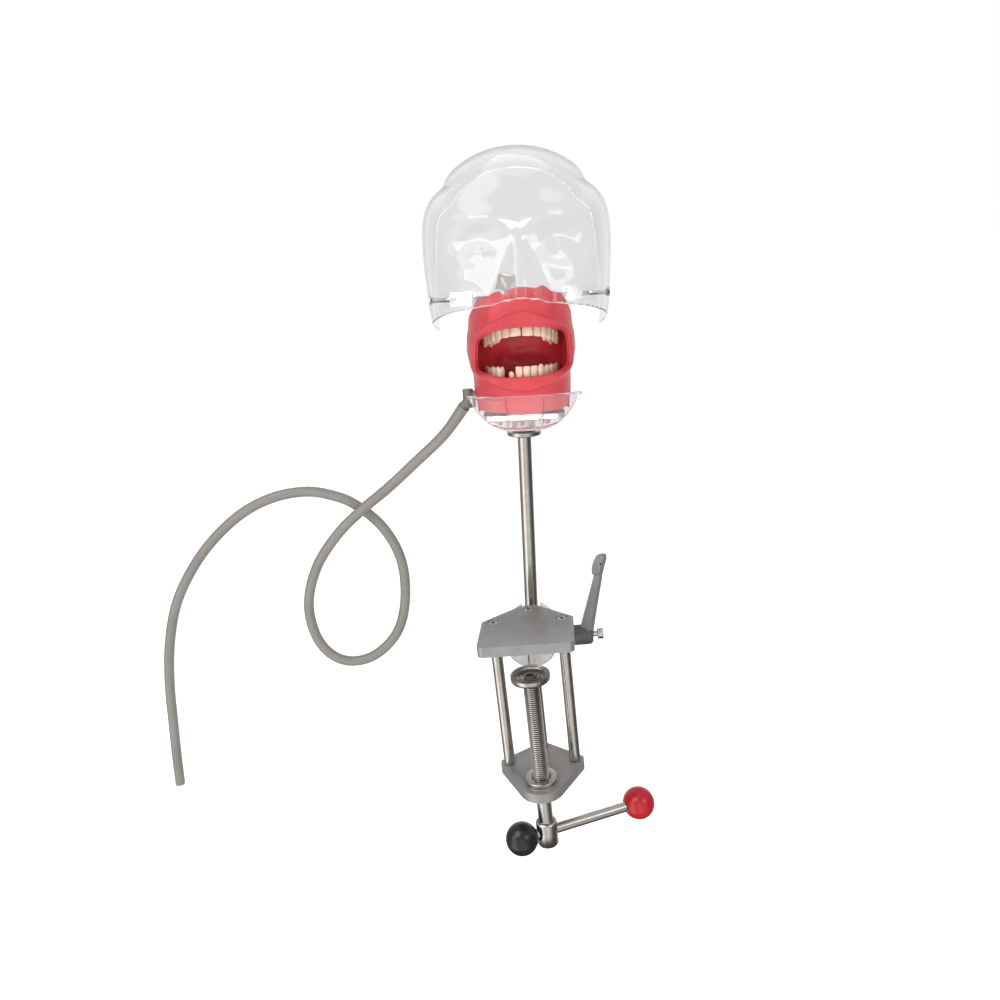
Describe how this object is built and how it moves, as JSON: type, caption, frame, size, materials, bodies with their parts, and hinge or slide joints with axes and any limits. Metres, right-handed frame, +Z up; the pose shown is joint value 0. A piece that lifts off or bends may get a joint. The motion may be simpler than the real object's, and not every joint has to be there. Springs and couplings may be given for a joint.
{
  "type": "typodont model",
  "caption": "Dental phantom head with hinged jaws, teeth, mouth mask and clear face shell, on a ball-jointed mast with a bench clamp and drain hose.",
  "frame": {"origin": "where the clamp screw's axis meets the underside of the upper clamp plate, the face that rests on the table top", "axes": "+Z up along the clamp screw, +X to the side of the clamping lever, -Y towards the table and the side that the face looks to"},
  "size_m": [0.4877, 0.1376, 0.597],
  "materials": {
    "cast_aluminium": "satin, fine machining marks",
    "stainless": "turned and polished",
    "lever_grey": "die-cast, satin grey",
    "brass": "turned",
    "black_plastic": "gloss",
    "red_plastic": "gloss",
    "mask_red": "soft silicone, satin",
    "gum_red": "satin",
    "tooth": "ivory, glazed",
    "clear": "clear moulded plastic",
    "hose_grey": "soft PVC, satin"
  },
  "bodies": {
    "clamp": {"upper_plate": "cast_aluminium", "lower_plate": "cast_aluminium", "column_left": "stainless", "column_right": "stainless", "column_back": "stainless", "plate_screw_left": "stainless", "plate_screw_right": "stainless", "plate_screw_back": "stainless", "base_screw_left": "stainless", "base_screw_right": "stainless", "base_screw_back": "stainless", "spindle_bush": "stainless", "ball_block": "cast_aluminium"},
    "clamp_jaw": {"ball_jaw": "cast_aluminium"},
    "lever_stud": {"lever_stud": "stainless", "lever_screw": "stainless"},
    "lever_handle": {"lever_handle": "lever_grey"},
    "pressure_pad": {"pressure_disc": "stainless"},
    "spindle": {"spindle_screw": "stainless", "spindle_hub": "stainless"},
    "tommy_bar": {"tommy_bar": "stainless", "knob_black": "black_plastic", "knob_red": "red_plastic"},
    "mast": {"mast_rod": "stainless", "mast_ball": "stainless", "mast_flange": "stainless"},
    "head_base": {"swivel_collar": "cast_aluminium", "collar_set_screw": "stainless", "base_plate": "cast_aluminium", "guard_screw_1": "brass", "guard_screw_2": "brass", "guard_screw_3": "brass", "chin_guard": "clear", "lower_gum": "gum_red", "lower_teeth_left": "tooth", "lower_teeth_right": "tooth", "hinge_bracket_left": "cast_aluminium", "hinge_bracket_right": "cast_aluminium", "hinge_pin": "stainless", "oral_mask": "mask_red", "mouth_lining": "mask_red", "drain_spigot": "stainless", "drain_hose": "hose_grey"},
    "upper_head": {"upper_gum": "gum_red", "upper_teeth": "tooth", "upper_jaw_plate": "cast_aluminium", "hinge_arm_left": "cast_aluminium", "hinge_arm_right": "cast_aluminium", "shell_knob": "stainless", "face_shell": "clear", "shell_bracket_left": "clear", "shell_bracket_right": "clear", "shell_screw_left": "stainless", "shell_screw_right": "stainless"}
  },
  "joints": [
    {"name": "pad_lift", "type": "slide", "parent": "clamp", "child": "pressure_pad", "axis": [0, 0, 1], "range_m": [-0.0941, 0.0046]},
    {"name": "spindle_turn", "type": "hinge", "parent": "pressure_pad", "child": "spindle", "pos_m": [0, 0, -0.1], "axis": [0, 0, 1], "range_deg": [-16920, 810]},
    {"name": "bar_slide", "type": "slide", "parent": "spindle", "child": "tommy_bar", "axis": [0.9311, 0.3649, 0], "range_m": [-0.0675, 0.0009]},
    {"name": "lever_turn", "type": "hinge", "parent": "clamp", "child": "lever_stud", "pos_m": [0, 0.057, -0.022], "axis": [1, 0, 0], "range_deg": [-20, 100]},
    {"name": "lever_lift", "type": "slide", "parent": "lever_stud", "child": "lever_handle", "axis": [1, 0, 0], "range_m": [0, 0.0035]},
    {"name": "jaw_squeeze", "type": "slide", "parent": "clamp", "child": "clamp_jaw", "axis": [1, 0, 0], "range_m": [-0.0004, 0.0001]},
    {"name": "mast_tilt", "type": "hinge", "parent": "clamp", "child": "mast", "pos_m": [0, 0.075, -0.0228], "axis": [1, 0, 0], "range_deg": [-80, 10]},
    {"name": "head_swivel", "type": "hinge", "parent": "mast", "child": "head_base", "pos_m": [0, 0.075, -0.0228], "axis": [0.0593, 0, 0.9982], "range_deg": [-90, 90]},
    {"name": "jaw_hinge", "type": "hinge", "parent": "head_base", "child": "upper_head", "pos_m": [0.01415, 0.09994, 0.24483], "axis": [0.9958, 0.0698, -0.0592], "range_deg": [-8, 14], "deforming": ["oral_mask"]}
  ],
  "couplings": [
    {"joint": "pad_lift", "follows": "spindle_turn", "m_per_rad": 0.00031831},
    {"joint": "jaw_squeeze", "follows": "lever_turn", "m_per_rad": -0.00019894}
  ]
}
